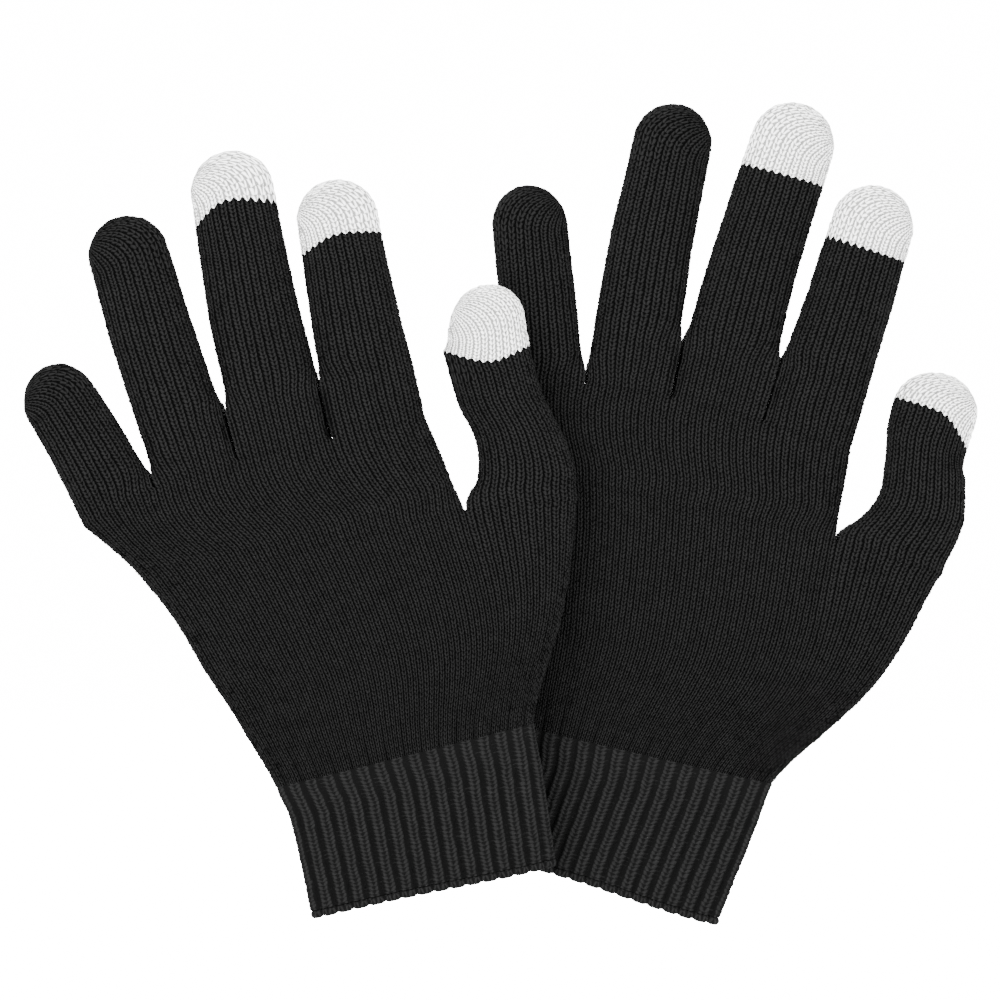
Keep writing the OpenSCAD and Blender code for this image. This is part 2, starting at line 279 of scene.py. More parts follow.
def read_hand(glove):
    """Levels and edges of the cuff and the palm."""
    fingers = glove.fingers

    def side_of(finger, way):
        """Where a side of a finger's base is: way is -1 for the left side and 1 for the right one."""
        part = fingers[finger]
        return part["base"] + way * part["half_width"][0] * across(part["low_lean"])

    knuckles = [side_of("little", -1)]
    for left, right in zip(FINGERS[:3], FINGERS[1:4]):
        knuckles.append((side_of(left, 1) + side_of(right, -1)) / 2)
    knuckles.append(side_of("index", 1))
    upper = glove.vertices("upper_palm")
    level = upper[:, 2].min()
    crotch = np.array([upper[upper[:, 2] < level + 0.1, 0].max() + HALF_PLAY, level])
    outer = 2 * fingers["thumb"]["base"] - crotch
    wrist = glove.vertices("cuff")[:, 2].max() + HALF_PLAY
    hem = glove.vertices("cuff_edge")[:, 2].min()
    edge_top = glove.vertices("cuff_edge")[:, 2].max()
    left, right, thick = glove.cut("cuff", (0, edge_top + 1))
    wrist_left, wrist_right, wrist_thick = glove.cut("cuff", (0, wrist - 1))
    middle = (wrist + level) / 2
    mid_left, mid_right, mid_thick = glove.cut("lower_palm", (0, middle))
    top_left, _, top_thick = glove.cut("upper_palm", (0, level + 0.5))
    _, _, knuckle_thick = glove.cut("upper_palm", (0, min(k[1] for k in knuckles) - 2))
    return {
        "knuckles": np.array(knuckles), "crotch": crotch, "outer": outer,
        "hem": hem, "edge_top": edge_top, "wrist": wrist, "thumb_level": level, "middle": middle,
        "hem_section": (left, right, thick),
        "wrist_section": (wrist_left, wrist_right, wrist_thick),
        "middle_section": (mid_left, mid_right, mid_thick),
        "top_left": top_left, "top_thick": top_thick, "knuckle_thick": knuckle_thick,
    }


for glove in gloves:
    glove.fingers = {finger: read_finger(glove, finger) for finger in FINGERS}
    glove.hand = read_hand(glove)
    lengths = [round(float(glove.fingers[finger]["length"])) for finger in FINGERS]
    print(glove.name, "finger lengths", lengths, "wrist at", round(float(glove.hand["wrist"]), 1), "mm")

# %% [markdown]
# ## The gauge of the knit
# A wale is a column of stitches and a course is a row of them. The machine knits a fixed number of
# wales in each tube, and the wales of the fingers run on down into the palm. The count per side is
# what fixes the width of a stitch: about 2.3 to 3 mm in the fingers, 2.2 mm in the upper palm, and
# down to 1.3 mm at the wrist, where most wales share the narrowest tube. Courses are 1.27 mm high.

# %% Gauge
WALES = {"little": 12, "ring": 12, "middle": 13, "index": 13, "thumb": 14}
HAND_WALES = sum(WALES[finger] for finger in FINGERS[:4])
TRUNK_WALES = HAND_WALES + WALES["thumb"]
COURSE = 1.27
# The cuff: ridges across one side, height of a course, height of a ridge
RIBS = 16
RIB_COURSE = 1.15
RIB_RELIEF = 1.3
# Share of the relief that lies inside the smooth ring, for ribs and for plain stitches
RIB_LEVEL = 0.2
STITCH_LEVEL = 0.55
# Columns of points in a wale, rows in a course, and outer rows for each row of the plain lining
COLUMNS = 6
ROWS = 3
LINING_STEP = 12
# Thickness of the fabric without its relief, and the width at which the lining of a tip ends
WALL = 1.3
LINING_END = 9
# How square the sections are: 2 gives an ellipse
FINGER_SQUARE = 2.3
HAND_SQUARE = 2.6
print("wales per side:", HAND_WALES, "across the knuckles,", TRUNK_WALES, "with the thumb")

# %% [markdown]
# ### Curves that the fabric follows
# The fabric is laid out as rows of points, one ring of the tube per row. Three small tools do it:
# an easing, a smooth curve through a few stations, and points spaced evenly along a line, which
# keeps every wale of a ring equally wide.

# %% Curve tools


def eased(share):
    """0 to 1 with soft ends."""
    share = np.clip(share, 0, 1)
    return share * share * (3 - 2 * share)


def mix(a, b, share):
    """a at share 0 and b at share 1."""
    return a + (b - a) * share


def through(x, stations, values):
    """A smooth curve through a few values."""
    stations = np.asarray(stations, float)
    values = np.asarray(values, float)
    slopes = np.gradient(values, stations)
    i = np.clip(np.searchsorted(stations, x) - 1, 0, len(stations) - 2)
    span = stations[i + 1] - stations[i]
    t = np.clip((x - stations[i]) / span, 0, 1)
    start = (2 * t**3 - 3 * t**2 + 1) * values[i] + (t**3 - 2 * t**2 + t) * span * slopes[i]
    return start + (3 * t**2 - 2 * t**3) * values[i + 1] + (t**3 - t**2) * span * slopes[i + 1]


def reach_along(line):
    """How far along a line of points each of them is."""
    return np.concatenate([[0], np.cumsum(np.linalg.norm(np.diff(line, axis=0), axis=1))])


def spaced(line, shares):
    """Points along a line of points at shares of its length."""
    reach = reach_along(line)
    return np.stack([np.interp(shares * reach[-1], reach, line[:, k]) for k in range(line.shape[1])], -1)


def half_oval(left, right, thick, square, count=500):
    """The front half of a squarish oval section, from its left edge to its right one, as [x, y]."""
    turn = np.linspace(math.pi, 0, count)
    power = 2 / square
    x = np.sign(np.cos(turn)) * np.abs(np.cos(turn)) ** power
    y = np.abs(np.sin(turn)) ** power
    return np.stack([(left + right) / 2 + (right - left) / 2 * x, -thick / 2 * y], -1)


def wale_stops(count):
    """Wale number at each column of half a ring."""
    return np.arange(COLUMNS * count + 1) / COLUMNS


def even_shares(count):
    """Shares of a half ring's length for evenly wide wales, with half a column left at each end."""
    return (wale_stops(count) + 0.5 / COLUMNS) / (count + 1 / COLUMNS)


# %% [markdown]
# ## The stitch
# A plain knitted stitch shows two legs that part upwards, so a wale looks like a chain of Vs. The
# relief is a formula of the wale and course numbers, and no two stitches are quite alike. It could
# be only a bump map, but then the outline of a finger would be a smooth tube, so it moves the mesh,
# and a finer copy of it goes in the material.

# %% Stitch relief
# A leg of the V: how far it starts from the wale's middle, how far it parts, and half its width
LEG_LOW = 0.13
LEG_RISE = 0.21
LEG_HALF = 0.18
# What makes stitches uneven: straying from the grid, loose ones that lie low, and leaning legs
STRAY = 0.12
TENSION = 0.5
SLOPE = 0.2
# One-and-one rib, in shares of a pair of wales: the flank of a ridge, then its stitch's start and width
FLANK = 0.24
RIDGE_FROM = 0.09
RIDGE_WIDE = 0.82
# Shares of the relief that the ridge and its stitches give
RIDGE_SHARE = 0.7
STITCH_SHARE = 0.3


def rounded(distance):
    """Height of a round yarn at a distance from its middle, in units of its radius."""
    return np.sqrt(np.clip(1 - distance**2, 0, 1))


def chance(i, j):
    """A fixed number from 0 to 1 for each whole wale and course."""
    wave = np.sin(i * 12.9898 + j * 78.233) * 43758.5453
    return wave - np.floor(wave)


def wander(u, v):
    """How far hand-soft yarn strays from the machine's grid, in stitches."""
    slow = np.sin(0.9 * u + 0.37 * v) * np.sin(0.53 * v - 0.41 * u + 1.0)
    quick = np.sin(2.3 * u - 1.1 * v + 0.4) * np.sin(1.7 * v + 1.3 * u)
    return 0.6 * slow + 0.4 * quick


def stitch(u, v):
    """Relief of plain knitting, 0 to 1, at wale u and course v."""
    u = u + STRAY * wander(u, v)
    v = v + 2.5 * STRAY * wander(v + 5.0, u)
    i, j = np.floor(u), np.floor(v)
    tension = 1 - TENSION * chance(i, j)
    side = np.sign(u - i - 0.5)
    f = np.abs(u - i - 0.5)
    g = v - j
    height = np.zeros_like(f)
    for up in (-1, 0, 1):
        q = g + up
        slip = SLOPE * (chance(i + 0.3 * side, j - up) - 0.5)
        taper = np.clip(1 - 0.8 * (1.7 * (q - 0.5)) ** 4, 0, 1)
        leg = rounded((f - LEG_LOW - LEG_RISE * q - slip) / LEG_HALF) * taper
        height = np.maximum(height, leg)
    return height * tension


def rib_wave(u):
    """The ridges of one-and-one rib, 0 to 1: every second wale stands up and the next one hides."""
    p = u / 2 - np.floor(u / 2)
    return eased((0.5 - np.abs(p - 0.5)) / FLANK)


def rib_stitch(u):
    """Number that runs through one whole stitch on each ridge and waits in the valley."""
    p = u / 2 - np.floor(u / 2)
    return np.floor(u / 2) + np.clip((p - RIDGE_FROM) / RIDGE_WIDE, 0, 1)


def rib(u, v):
    """Relief of one-and-one rib, 0 to 1."""
    ridge = rib_wave(u)
    return RIDGE_SHARE * ridge + STITCH_SHARE * stitch(rib_stitch(u), v) * eased(ridge * 2)


print("stitch relief from", round(float(stitch(np.array([0.95]), np.array([0.5]))[0]), 2), "to 1")

# %% [markdown]
# ## From rings to a mesh
# A tube of fabric is a grid rolled up: bmesh makes the grid, its points move to the rings, and the
# two edges that meet are merged. The same grid turns over the rim and comes back inside as a plain
# lining, so that each piece is one closed wall with its faces outwards.

# %% From rings to a mesh
SHARP = math.radians(75)


def fabric_normals(rings):
    """Outward directions of rows of points around a closed ring."""
    round_it = np.roll(rings, -1, 1) - np.roll(rings, 1, 1)
    up_it = np.gradient(rings, axis=0)
    normals = np.cross(round_it, up_it)
    return normals / np.maximum(np.linalg.norm(normals, axis=2, keepdims=True), 1e-9)


def unevenness(rings):
    """The slight waviness of soft fabric, in millimetres, the same wherever pieces meet."""
    x, y, z = rings[..., 0], rings[..., 1], rings[..., 2]
    slow = np.sin(x / 13 + z / 31 + 0.6) * np.sin(z / 17 - x / 41 + y / 9)
    return 0.22 * slow + 0.12 * np.sin(x / 5.3 - z / 11 + y / 4) * np.sin(z / 7.1 + x / 15)


def mesh_from_rows(name, points, uv, collection):
    """A closed mesh from rows of points in the frame; edges that coincide are merged."""
    rows, columns = points.shape[0] - 1, points.shape[1] - 1
    sheet = bmesh.new()
    sheet.loops.layers.uv.new("Knit")
    bmesh.ops.create_grid(sheet, x_segments=columns, y_segments=rows, size=1, calc_uvs=True)
    mesh = bpy.data.meshes.new(name)
    sheet.to_mesh(mesh)
    sheet.free()
    place = np.empty(len(mesh.vertices) * 3, np.float32)
    mesh.vertices.foreach_get("co", place)
    place = place.reshape(-1, 3)
    i = np.rint((place[:, 0] + 1) / 2 * columns).astype(int)
    j = np.rint((place[:, 1] + 1) / 2 * rows).astype(int)
    mesh.vertices.foreach_set("co", points[j, i].astype(np.float32).ravel())
    corner = np.empty(len(mesh.loops), np.int32)
    mesh.loops.foreach_get("vertex_index", corner)
    mesh.uv_layers["Knit"].data.foreach_set("uv", uv[j[corner], i[corner]].astype(np.float32).ravel())
    shell = bmesh.new()
    shell.from_mesh(mesh)
    rim = [v for v in shell.verts if v.is_boundary]
    bmesh.ops.remove_doubles(shell, verts=rim, dist=1e-7)
    bmesh.ops.recalc_face_normals(shell, faces=shell.faces)
    for face in shell.faces:
        face.smooth = True
    shell.to_mesh(mesh)
    shell.free()
    mesh.set_sharp_from_angle(angle=SHARP)
    piece = bpy.data.objects.new(name, mesh)
    collection.objects.link(piece)
    return piece


def closed_ring(rows):
    """Rows with their first column repeated at the end."""
    return np.concatenate([rows, rows[:, :1]], 1)


def knit_piece(name, glove, cloth, first, last, capped=False):
    """The piece of a cloth between two of its rows, with a lining; capped pieces end in a point."""
    outer = cloth["outer"][first : last + 1]
    uv = cloth["uv"][first : last + 1]
    final = last
    if capped:
        final = first + int(np.argmax(cloth["girth"][first : last + 1] < LINING_END * math.pi))
    picked = list(range(first, final, LINING_STEP)) + [final]
    inner = cloth["inner"][picked][::-1]
    inner_uv = cloth["uv"][picked][::-1]
    if capped:
        columns = outer.shape[1]
        tip = outer[-1].mean(0)
        heart = cloth["inner"][final].mean(0)
        inner_tip = mix(tip, heart, WALL / max(np.linalg.norm(tip - heart), WALL * 2))
        outer = outer.copy()
        outer[-1] = tip
        inner = np.concatenate([np.broadcast_to(inner_tip, (1, columns, 3)), inner])
        inner_uv = np.concatenate([inner_uv[:1], inner_uv])
        points = np.concatenate([inner, outer])
        uv = np.concatenate([inner_uv, uv])
    else:
        points = np.concatenate([inner, outer, inner[:1]])
        uv = np.concatenate([inner_uv, uv, inner_uv[:1]])
    rows = glove.outward(closed_ring(points))
    uv = closed_ring(uv)
    uv[:, -1, 0] += cloth["around"]
    uv[..., 0] *= glove.turned
    piece = mesh_from_rows(name, rows, uv, bpy.context.scene.collection)
    triangles = sum(len(face.vertices) - 2 for face in piece.data.polygons)
    print(name, triangles, "triangles")
    return piece


def weave(glove, rings, wales, courses, height, relief=stitch, level=STITCH_LEVEL):
    """Turns smooth rings into knitted cloth: the relief, the lining and the stitch numbers."""
    normals = fabric_normals(rings)
    u = np.broadcast_to(wales, rings.shape[:2])
    v = np.broadcast_to(courses, rings.shape[:2])
    girth = np.linalg.norm(np.roll(rings, -1, 1) - rings, axis=2).sum(1)
    fade = np.clip(girth / (rings.shape[1] / COLUMNS * 1.5), 0, 1)[:, None]
    raised = (relief(u * glove.turned, v) - level) * height * fade + unevenness(rings) * fade
    outer = rings + normals * raised[..., None]
    inner = rings - normals * WALL
    uv = np.stack([u, v], -1)
    around = wales[-1] - wales[0]
    return {"outer": outer, "inner": inner, "uv": uv, "girth": girth, "around": around}


# %% [markdown]
# ## The lower palm
# Below the thumb's crotch all the wales run together in one wide tube, from the cuff up to the line
# where the thumb and the hand part. It is made as one cloth and cut in two: the heel at the wrist,
# and the palm above it. The cuff's ribs run up into the heel and fade.

# %% Lower palm
PALM_RELIEF = 0.62
BEND_LENGTH = 30.0
# How far the fabric stands out beyond the frame's edge at the thumb's side and at the heel
THUMB_SIDE_FULLNESS = {"rear": 5.2, "front": 2.0}
HEEL_FULLNESS = 2.2
# Shares of the lower palm's height: where the heel's fullness starts to fade, and over how much
HEEL_FADES_FROM = 0.12
HEEL_FADES_OVER = 0.35
# Height over which the ribs fade
RIB_FADE = 14.0


def ring_from_halves(front, skew=0):
    """A whole ring from its front half and the back half that mirrors it, moved apart by a skew."""
    aside = np.zeros_like(front)
    aside[:, 0] = skew
    back = (front - aside)[::-1] * np.array([1, -1, 1])
    return np.concatenate([front + aside, back])


def ring_wales(first, last):
    """Wale numbers round a ring whose front half runs from one wale to another."""
    front = first + wale_stops(last - first)
    return np.concatenate([front, 2 * last - front[::-1]])


def trunk_rings(glove):
    """Rings of the lower palm from the wrist to the line where the thumb parts from the hand."""
    hand = glove.hand
    hem, wrist, level = hand["hem"], hand["wrist"], hand["thumb_level"]
    knuckles = hand["knuckles"]
    courses = round((level - wrist) / COURSE)
    before = (hem - wrist) / (level - wrist)
    after = (knuckles[0][1] - wrist) / (level - wrist)
    left_edge = [hand["hem_section"][0], hand["wrist_section"][0], hand["middle_section"][0],
                 hand["top_left"], knuckles[0][0]]
    right_edge = [hand["hem_section"][1], hand["wrist_section"][1], hand["middle_section"][1],
                  hand["outer"][0], mix(hand["middle_section"][1], hand["outer"][0], 1.8)]
    thickness = [hand["hem_section"][2], hand["wrist_section"][2], hand["middle_section"][2],
                 hand["top_thick"], hand["knuckle_thick"]]
    stops = wale_stops(TRUNK_WALES)
    share_at_crotch = (HAND_WALES + 0.5 / COLUMNS) / (TRUNK_WALES + 1 / COLUMNS)
    rings = []
    for row in range(courses * ROWS + 1):
        share = row / (courses * ROWS)
        left = through(share, [before, 0, 0.5, 1, after], left_edge)
        left -= HEEL_FULLNESS * (1 - eased((share - HEEL_FADES_FROM) / HEEL_FADES_OVER))
        right = through(share, [before, 0, 0.5, 1, 1.5], right_edge)
        right += THUMB_SIDE_FULLNESS[glove.name] * math.sin(math.pi * min(share * 1.04, 1)) ** 1.3
        thick = through(share, [before, 0, 0.5, 1, after], thickness)
        section = half_oval(left, right, thick, HAND_SQUARE)
        reach = reach_along(section)
        top_share = np.interp(hand["crotch"][0], section[:, 0], reach / reach[-1])
        at_crotch = mix(share_at_crotch, top_share, eased(share))
        ends = [0.5 / COLUMNS / TRUNK_WALES, at_crotch, 1 - 0.5 / COLUMNS / TRUNK_WALES]
        shares = np.interp(stops, [0, HAND_WALES, TRUNK_WALES], ends)
        flat = spaced(section, shares)
        top = np.interp(flat[:, 0], [hand["crotch"][0], hand["outer"][0]], [level, hand["outer"][1]])
        height = wrist + (top - wrist) * share
        rings.append(ring_from_halves(np.stack([flat[:, 0], flat[:, 1], height], -1)))
    return np.array(rings)


def build_lower_palm(glove):
    """The heel at the wrist, and the palm above it."""
    rings = trunk_rings(glove)
    wales = ring_wales(0, TRUNK_WALES)
    numbers = (np.arange(len(rings)) / ROWS)[:, None]
    ribs_per_wale = 2 * RIBS / TRUNK_WALES

    def settling(u, v):
        """Plain stitches over the last of the ribs."""
        ribs = (rib_wave(u * ribs_per_wale) - RIB_LEVEL) * RIB_RELIEF / PALM_RELIEF
        return stitch(u, v) + 0.5 * ribs * (1 - eased(v * COURSE / RIB_FADE))

    cloth = weave(glove, rings, wales, numbers, PALM_RELIEF, relief=settling)
    split = ROWS * round(BEND_LENGTH / COURSE)
    heel = knit_piece(f"{glove.name}_palm_heel", glove, cloth, 0, split)
    palm = knit_piece(f"{glove.name}_palm", glove, cloth, split, len(rings) - 1)
    return heel, palm, rings


# %% [markdown]
# ## The upper palm
# Above the thumb's crotch the hand goes on as a narrower tube. Its lowest ring is exactly the
# hand's share of the ring below, flat-sided at the crotch, and within a few millimetres the side
# rounds off. At the knuckle line the wales are shared out to the four fingers.

# %% Upper palm
CROTCH_ROUNDING = 11.0
CROTCH_TUCK = 0.2


def hand_rings(glove, trunk_top):
    """Rings of the upper palm, from the thumb's crotch to the knuckle line."""
    hand = glove.hand
    knuckles = hand["knuckles"]
    level = hand["thumb_level"]
    start = trunk_top[: COLUMNS * HAND_WALES + 1]
    stops = wale_stops(HAND_WALES)
    rise = knuckles[2][1] - level
    courses = round(rise / COURSE)
    right_low = hand["crotch"][0] - CROTCH_TUCK
    joins = np.cumsum([0] + [WALES[finger] for finger in FINGERS[:4]])
    rings = []
    for row in range(courses * ROWS + 1):
        share = row / (courses * ROWS)
        left = through(share, [-1, 0, 1, 2], [mix(hand["middle_section"][0], hand["top_left"], 0.2),
                       hand["top_left"], knuckles[0][0], 2 * knuckles[0][0] - hand["top_left"]])
        right = mix(right_low, knuckles[4][0], share)
        thick = mix(hand["top_thick"], hand["knuckle_thick"], share)
        section = half_oval(left, right, thick, HAND_SQUARE)
        reach = reach_along(section)
        half = 0.5 / COLUMNS / HAND_WALES
        top_joins = np.interp(knuckles[1:4, 0], section[:, 0], reach / reach[-1])
        top_shares = np.interp(stops, joins, [half, *top_joins, 1 - half])
        shares = mix(even_shares(HAND_WALES), top_shares, eased(share))
        free = spaced(section, shares)
        place = stops / HAND_WALES
        boxed_x = start[:, 0] + (left - hand["top_left"]) * (1 - place) + (right - right_low) * place
        boxed_y = start[:, 1] * thick / hand["top_thick"]
        parted = eased(share * rise / CROTCH_ROUNDING)
        x = mix(boxed_x, free[:, 0], parted)
        y = mix(boxed_y, free[:, 1], parted)
        top = np.interp(x, knuckles[:, 0], knuckles[:, 1])
        rings.append(ring_from_halves(np.stack([x, y, level + (top - level) * share], -1)))
    return np.array(rings)


def build_upper_palm(glove, trunk_top):
    """The upper palm as one piece."""
    rings = hand_rings(glove, trunk_top)
    numbers = (np.arange(len(rings)) / ROWS)[:, None]
    cloth = weave(glove, rings, ring_wales(0, HAND_WALES), numbers, PALM_RELIEF)
    return knit_piece(f"{glove.name}_upper_palm", glove, cloth, 0, len(rings) - 1), rings


# %% [markdown]
# ## The fingers
# A finger tube starts flat-sided where it parts from its neighbours and turns oval once it is free.
# Towards the tip the courses tilt, because the tube is gathered shut at one side of the tip and not
# at its middle. So each ring is a tilted plane through the finger, found where the plane meets the
# finger's rounded form.

# %% Finger rings
FINGER_RELIEF = 0.56
# Height above its base up to which each side of a finger is pressed to its neighbour, from the little
# finger's outer side to the index finger's, and the height over which two fingers part
CLOSED = {"rear": [0, 2, 15, 17, 0], "front": [0, 1, 13, 15, 0]}
PARTING = 9.0
# Pressed walls keep a gap, and are skewed from front to back so that nobody sees through it
PRESSED_SHARE = 0.12
PRESSED_GAP = 0.15
SKEW = 0.5
# Where the gather lies round the tip, in degrees, and over what length the courses turn towards it
GATHER_ANGLE = {"little": 55, "ring": 55, "middle": 62, "index": 62, "thumb": 50}
GATHER_LENGTH = 44
# The change to white yarn: its distance from the tip, its tilt in degrees and its bow
SEAMS = {"rear": {"middle": (22, 3, 0), "index": (20, 0, 0), "thumb": (11.5, -24, 0.35)},
         "front": {"middle": (15, 12, 0.42), "index": (16, 9, 0.25), "thumb": (25, -12, -0.33)}}
# Half the length of the bend at a fold, and how far the thumb sways aside along its length
TURN = 8.0
SWAY_AT = [0, 0.12, 0.29, 0.5, 0.65, 0.8, 1]
SWAY = {"rear": [0, 2.4, 5.0, 3.0, 1.0, 0.4, 0.8], "front": [0, 2.2, 1.6, -2.6, -2.8, -1.4, 0.8]}
# The search for a ring's points: how far out it looks and how often it halves
FARTHEST = 40.0
HALVINGS = 26


def finger_centre(finger, s):
    """Middle and lean of a finger, s along it from its base, rounded at the fold."""
    start = finger["fold_at"] - TURN
    t = np.clip((s - start) / (2 * TURN), 0, 1)
    low_way = along(finger["low_lean"])
    top_way = along(finger["top_lean"])
    lean = mix(finger["low_lean"], finger["top_lean"], t)
    if t <= 0:
        return finger["base"] + s * low_way, lean
    if t >= 1:
        return finger["fold"] + (s - finger["fold_at"]) * top_way, lean
    first = finger["fold"] - TURN * low_way
    last = finger["fold"] + TURN * top_way
    return (1 - t) ** 2 * first + 2 * t * (1 - t) * finger["fold"] + t**2 * last, lean


def body_radius(finger, side, up, thick):
    """How far out a point is in the finger's rounded form: below 1 is inside."""
    wide = np.interp(up, *finger["width_along"])
    deep = np.interp(up, *finger["thickness_along"])
    over = np.clip((up - (finger["length"] - DOME)) / DOME, 0, 1)
    shrink = np.sqrt(np.maximum(1 - over**2, 1e-9))
    power = FINGER_SQUARE
    return np.abs(side / (wide * shrink)) ** power + np.abs(thick / (deep * shrink)) ** power


def tilted_half(finger, middle, tilt, bow, count=121):
    """Front half of the ring where a tilted, bowed plane meets the finger, as [side, thickness, up]."""
    turn = np.linspace(math.pi, 0, count)
    rise = np.cos(turn) * math.sin(tilt) - bow * np.cos(turn) ** 2
    way = np.stack([np.cos(turn) * math.cos(tilt), -np.sin(turn), rise], -1)
    near = np.zeros(count)
    far = np.full(count, FARTHEST)
    for _ in range(HALVINGS):
        reach = (near + far) / 2
        side = middle[0] + reach * way[:, 0]
        up = middle[1] + reach * way[:, 2]
        outside = (body_radius(finger, side, up, reach * way[:, 1]) > 1) | (up > finger["length"])
        far = np.where(outside, reach, far)
        near = np.where(outside, near, reach)
    return np.stack([middle[0] + near * way[:, 0], near * way[:, 1], middle[1] + near * way[:, 2]], -1)


def finger_spine(glove, name):
    """The line of ring middles from base to gather, with the tilt of the rings along it."""
    finger = glove.fingers[name]
    bends = abs(finger["top_lean"] - finger["low_lean"]) > math.radians(1)
    ramp = max(finger["fold_at"] + (TURN if bends else 0), finger["length"] - GATHER_LENGTH)
    dome_at = finger["length"] - DOME
    heights = np.linspace(0, finger["length"], 200)
    finger["width_along"] = heights, through(heights, finger["stations"], finger["half_width"])
    finger["thickness_along"] = heights, through(heights, finger["stations"], finger["half_thickness"])
    beta = math.radians(GATHER_ANGLE[name])
    wide = finger["half_width"][2]
    pole = np.array([-glove.turned * wide * math.sin(beta), dome_at + DOME * math.cos(beta)])
    pole_tilt = glove.turned * math.atan2(math.sin(beta) / wide, math.cos(beta) / DOME)
    t = np.linspace(0, 1, 200)[:, None]
    start = np.array([0, ramp])
    bend = np.array([0, dome_at])
    curve = (1 - t) ** 2 * start + 2 * t * (1 - t) * bend + t**2 * pole
    reach = reach_along(curve)
    from_tip, tilt, bow = SEAMS[glove.name].get(name, (TOUCH, 0, 0))
    seam_at = max(finger["length"] - from_tip - ramp, 5)
    return {"ramp": ramp, "curve": curve, "reach": reach, "total": ramp + reach[-1], "seam_at": seam_at,
            "seam_tilt": math.radians(tilt), "bow": bow, "pole_tilt": pole_tilt}


def ring_of(glove, name, spine, s):
    """Front half of a finger's free ring, s along its spine, as [x, y, z] in the glove's axes."""
    finger = glove.fingers[name]
    shares = even_shares(WALES[name])
    sway = through(s / spine["total"], SWAY_AT, SWAY[glove.name]) if name == "thumb" else 0
    if s <= spine["ramp"]:
        middle, lean = finger_centre(finger, s)
        middle = middle + sway * across(lean)
        wide = through(s, finger["stations"], finger["half_width"])
        deep = through(s, finger["stations"], finger["half_thickness"])
        flat = spaced(half_oval(-wide, wide, 2 * deep, FINGER_SQUARE), shares)
        plan = middle + flat[:, :1] * across(lean)
        return np.stack([plan[:, 0], flat[:, 1], plan[:, 1]], -1)
    beyond = s - spine["ramp"]
    middle = np.array([np.interp(beyond, spine["reach"], spine["curve"][:, k]) for k in (0, 1)])
    if beyond < spine["seam_at"]:
        tilt = spine["seam_tilt"] * eased(beyond / spine["seam_at"])
        bow = spine["bow"] * eased(beyond / spine["seam_at"])
    else:
        rest = (beyond - spine["seam_at"]) / (spine["reach"][-1] - spine["seam_at"])
        tilt = mix(spine["seam_tilt"], spine["pole_tilt"], min(rest, 1))
        bow = spine["bow"] * (1 - min(rest, 1))
    half = spaced(tilted_half(finger, middle, tilt, bow), shares)
    lean = finger["top_lean"]
    foot = finger["fold"] - finger["fold_at"] * along(lean)
    plan = foot + (half[:, :1] + sway) * across(lean) + half[:, 2:] * along(lean)
    return np.stack([plan[:, 0], half[:, 1], plan[:, 1]], -1)


def wall_leans(glove, name):
    """Leans of the two sides of a finger while it is still joined to its neighbours."""
    own = glove.fingers[name]["low_lean"]
    order = FINGERS[:4]
    if name == "thumb":
        return own, own
    k = order.index(name)
    left = own if k == 0 else (own + glove.fingers[order[k - 1]]["low_lean"]) / 2
    right = own if k == 3 else (own + glove.fingers[order[k + 1]]["low_lean"]) / 2
    return left, right


def finger_rings(glove, name, parent_top, first_wale):
    """All the rings of a finger, from its share of the ring below to the gather."""
    finger = glove.fingers[name]
    spine = finger_spine(glove, name)
    count = WALES[name]
    columns = slice(COLUMNS * first_wale, COLUMNS * (first_wale + count) + 1)
    start = parent_top[columns]
    place = wale_stops(count) / count
    left_lean, right_lean = wall_leans(glove, name)
    leans = mix(left_lean, right_lean, place)
    ways = np.stack([np.sin(leans), np.zeros_like(leans), np.cos(leans)], -1)
    left_closed, right_closed = 0, 0
    if name != "thumb":
        k = FINGERS.index(name)
        left_closed, right_closed = CLOSED[glove.name][k : k + 2]
    courses = round(spine["total"] / COURSE)
    total_rows = courses * ROWS
    gap = np.interp(place, [0, PRESSED_SHARE, 1 - PRESSED_SHARE, 1], [PRESSED_GAP, 0, 0, -PRESSED_GAP])
    near_left = np.clip(1 - place / PRESSED_SHARE, 0, 1) * (left_closed > 0)
    near_right = np.clip((place - (1 - PRESSED_SHARE)) / PRESSED_SHARE, 0, 1) * (right_closed > 0)
    rings = []
    for row in range(total_rows + 1):
        s = spine["total"] * row / total_rows
        free = ring_of(glove, name, spine, min(s, spine["total"] - 0.05))
        left_parted = eased((s - left_closed) / PARTING)
        right_parted = eased((s - right_closed) / PARTING)
        parted = mix(left_parted, right_parted, place)[:, None]
        if s < max(left_closed, right_closed) + PARTING:
            deep = through(s, finger["stations"], finger["half_thickness"])
            boxed = start + s * ways
            boxed[:, 1] = start[:, 1] * deep / finger["half_thickness"][0]
            boxed[:, 0] += gap * min(s, 1)
            free = mix(boxed, free, parted)
        touching = near_left * (1 - left_parted) + near_right * (1 - right_parted)
        rings.append(ring_from_halves(free, -glove.turned * SKEW * eased(s / 0.8) * touching))
    seam_row = ROWS * round((spine["ramp"] + spine["seam_at"]) / spine["total"] * courses)
    return np.array(rings), seam_row, spine


# %% [markdown]
# ### Changing yarn at the tip
# The white conductive yarn starts at a course, so its edge is a row of little points, one to a
# stitch. The rows near the edge are bent into that zigzag before the stitches are raised, and both
# pieces use the same bent row.

# %% Zigzag and finger pieces
ZIGZAG = 0.30
ZIGZAG_REACH = 5


